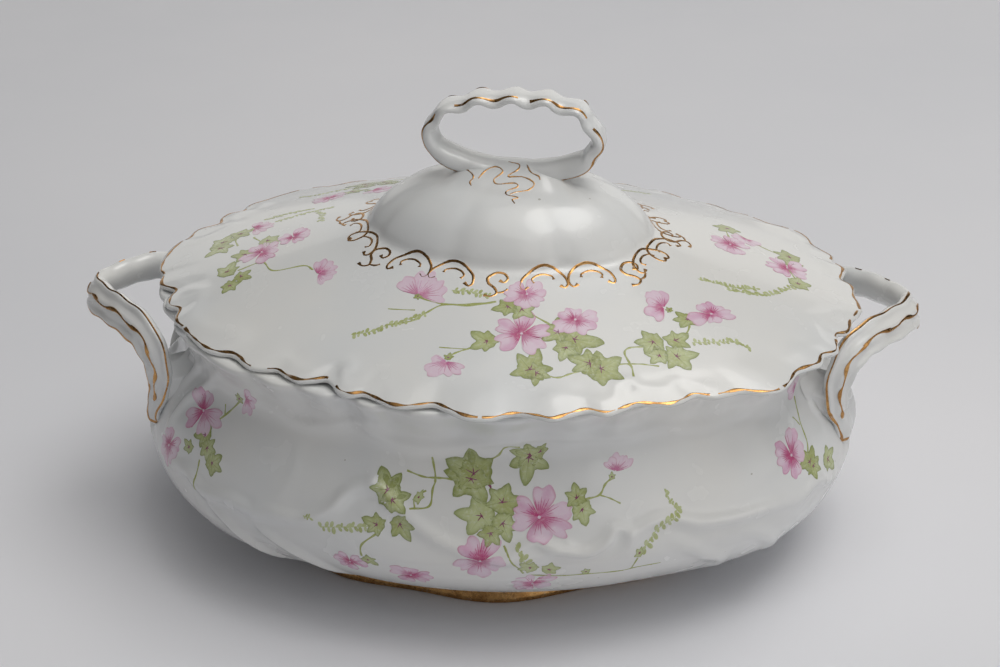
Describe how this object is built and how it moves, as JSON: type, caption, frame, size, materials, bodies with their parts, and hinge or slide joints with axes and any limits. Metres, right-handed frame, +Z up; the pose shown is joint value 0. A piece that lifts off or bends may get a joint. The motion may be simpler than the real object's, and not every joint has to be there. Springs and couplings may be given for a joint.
{
  "type": "covered oval soup tureen",
  "caption": "Covered oval porcelain tureen with a lift-off domed lid, a loop handle on top, a bail handle at each end and a low foot ring.",
  "frame": {"origin": "centre of the whole tureen's outline at the surface that the foot ring stands on", "axes": "+Z up, +X along the length towards the right handle, +Y to the back"},
  "size_m": [0.3222, 0.2042, 0.182],
  "materials": {
    "bowl_glaze": "cool white hard-paste porcelain under a clear gloss glaze",
    "lid_glaze": "cool white hard-paste porcelain under a clear gloss glaze",
    "handle_glaze": "cool white hard-paste porcelain under a clear gloss glaze",
    "foot_gilding": "thin burnished gilding over glaze, a little worn"
  },
  "bodies": {
    "bowl": {"tureen_bowl": "bowl_glaze", "foot_ring": "foot_gilding", "handle_left": "handle_glaze", "handle_right": "handle_glaze"},
    "lid": {"lid_cover": "lid_glaze", "lid_locating_flange": "lid_glaze", "lid_loop_handle": "handle_glaze"}
  },
  "joints": [
    {"name": "lid_lift", "type": "slide", "parent": "bowl", "child": "lid", "axis": [0, 0, 1], "range_m": [0, 0.15]}
  ]
}
